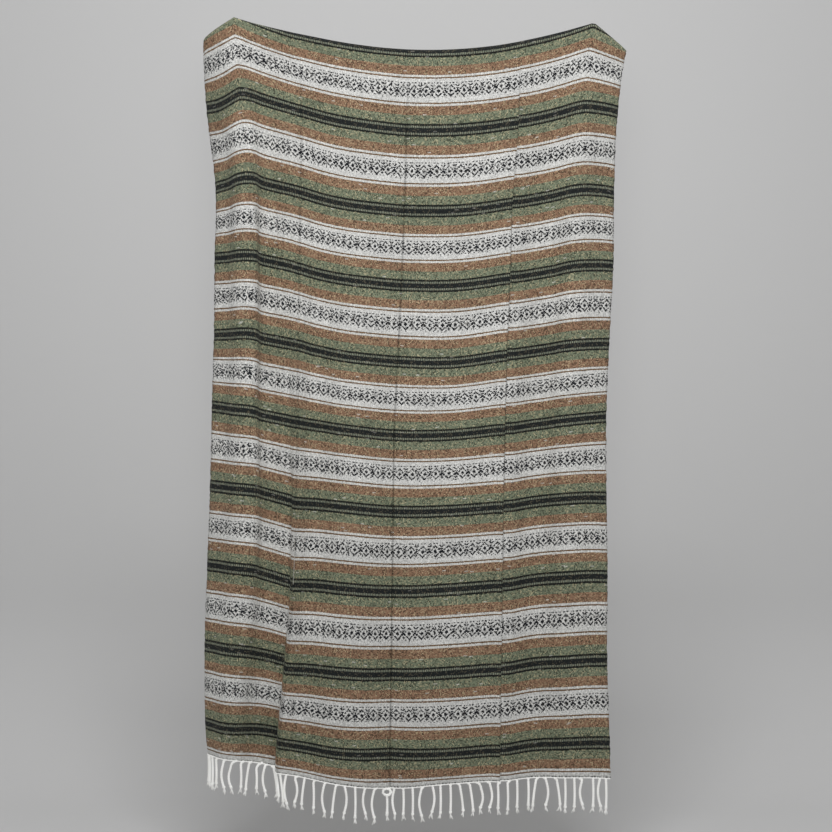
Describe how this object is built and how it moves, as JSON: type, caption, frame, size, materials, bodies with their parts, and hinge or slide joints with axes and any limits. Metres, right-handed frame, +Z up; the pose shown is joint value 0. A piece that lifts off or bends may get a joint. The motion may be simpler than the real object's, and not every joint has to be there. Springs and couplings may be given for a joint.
{
  "type": "mexican falsa blanket held up by its folded top edge",
  "caption": "Striped woven blanket with a fringe at each end, hung from two grips along its folded top edge.",
  "frame": {"origin": "where the left grip carries the cloth, on the inner face of the fold at the top", "axes": "+Z up the hanging cloth; the long fall faces -Y, with +X to the viewer's right; the short flap and its fringe hang on the +Y side"},
  "size_m": [1.0665, 0.1119, 2.0171],
  "materials": {
    "woven_cloth": "loose plain weave in heathered sage green, brown, black and white stripes",
    "white_warp": "matt twisted white yarn"
  },
  "bodies": {
    "root": {"woven_panel": "woven_cloth", "fringe_front": "white_warp", "fringe_back": "white_warp"}
  },
  "joints": []
}
